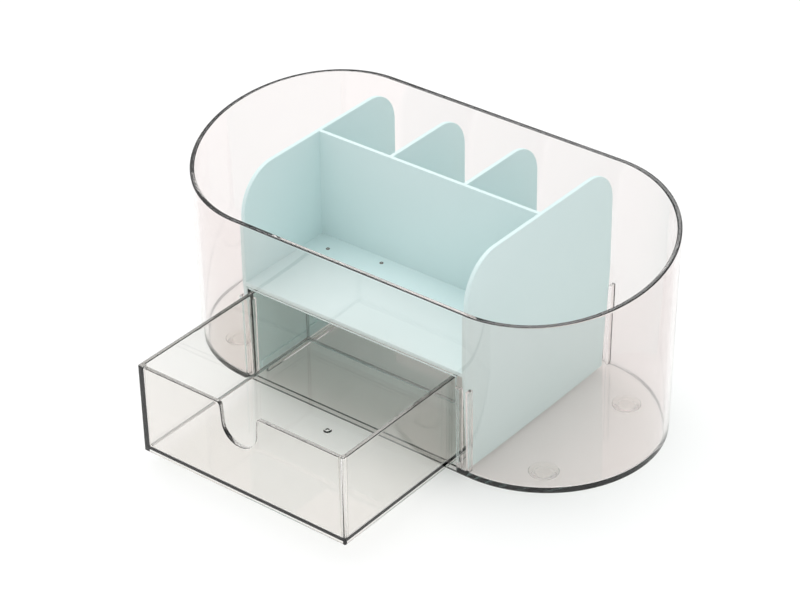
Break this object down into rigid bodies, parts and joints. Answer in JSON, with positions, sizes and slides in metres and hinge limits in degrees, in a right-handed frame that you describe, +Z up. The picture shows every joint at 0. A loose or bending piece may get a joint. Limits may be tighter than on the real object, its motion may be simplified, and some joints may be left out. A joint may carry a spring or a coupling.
{
  "type": "brush holder with drawer",
  "caption": "Clear oval make-up brush holder with a sloping rim, a lift-out mint insert that divides it into bays and compartments, and a clear drawer below.",
  "frame": {"origin": "centre of the casing's footprint, on the surface that the foot pads stand on", "axes": "+X along the casing's length to the right, -Y out of the front where the drawer opens, +Z up"},
  "size_m": [0.25, 0.1932, 0.1111],
  "materials": {
    "clear_plastic": "polished clear injection-moulded polystyrene",
    "mint_plastic": "satin opaque moulded plastic, pale mint",
    "clear_pad": "soft clear bumper pad"
  },
  "bodies": {
    "casing": {"casing": "clear_plastic", "foot_pad_front_left": "clear_pad", "foot_pad_front_right": "clear_pad", "foot_pad_rear_left": "clear_pad", "foot_pad_rear_right": "clear_pad"},
    "drawer": {"drawer": "clear_plastic"},
    "insert": {"insert": "mint_plastic"}
  },
  "joints": [
    {"name": "drawer_slide", "type": "slide", "parent": "casing", "child": "drawer", "axis": [0, -1, 0], "range_m": [-0.0742, 0.045]},
    {"name": "insert_lift", "type": "slide", "parent": "casing", "child": "insert", "axis": [0, 0, 1], "range_m": [0, 0.112]}
  ]
}
